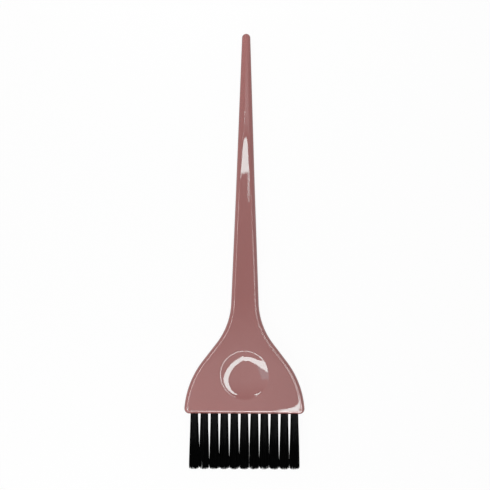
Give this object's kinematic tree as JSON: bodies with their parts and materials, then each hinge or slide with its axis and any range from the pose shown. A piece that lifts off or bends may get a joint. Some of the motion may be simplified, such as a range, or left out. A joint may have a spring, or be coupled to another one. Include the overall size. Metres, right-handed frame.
{
  "type": "tint brush",
  "caption": "Flat hair-tint brush: one-piece glossy handle with a wide head, a thumb dish and a long thin tail, and a single row of black nylon bristle tufts held by wire anchors.",
  "frame": {"origin": "middle of the overall length and width, on the plane that the back face rests on", "axes": "+Y along the handle to the tip of the tail, +X across the head to the right, +Z out of the front face"},
  "size_m": [0.0602, 0.2174, 0.007],
  "materials": {
    "handle_plastic": "glossy moulded plastic, dusty rose",
    "bristle_nylon": "black nylon filament",
    "anchor_wire": "drawn flat wire"
  },
  "bodies": {
    "root": {"handle": "handle_plastic", "bristle_tuft_01": "bristle_nylon", "bristle_tuft_02": "bristle_nylon", "bristle_tuft_03": "bristle_nylon", "bristle_tuft_04": "bristle_nylon", "bristle_tuft_05": "bristle_nylon", "bristle_tuft_06": "bristle_nylon", "bristle_tuft_07": "bristle_nylon", "bristle_tuft_08": "bristle_nylon", "bristle_tuft_09": "bristle_nylon", "bristle_tuft_10": "bristle_nylon", "bristle_tuft_11": "bristle_nylon", "anchor_01": "anchor_wire", "anchor_02": "anchor_wire", "anchor_03": "anchor_wire", "anchor_04": "anchor_wire", "anchor_05": "anchor_wire", "anchor_06": "anchor_wire", "anchor_07": "anchor_wire", "anchor_08": "anchor_wire", "anchor_09": "anchor_wire", "anchor_10": "anchor_wire", "anchor_11": "anchor_wire"}
  },
  "joints": []
}
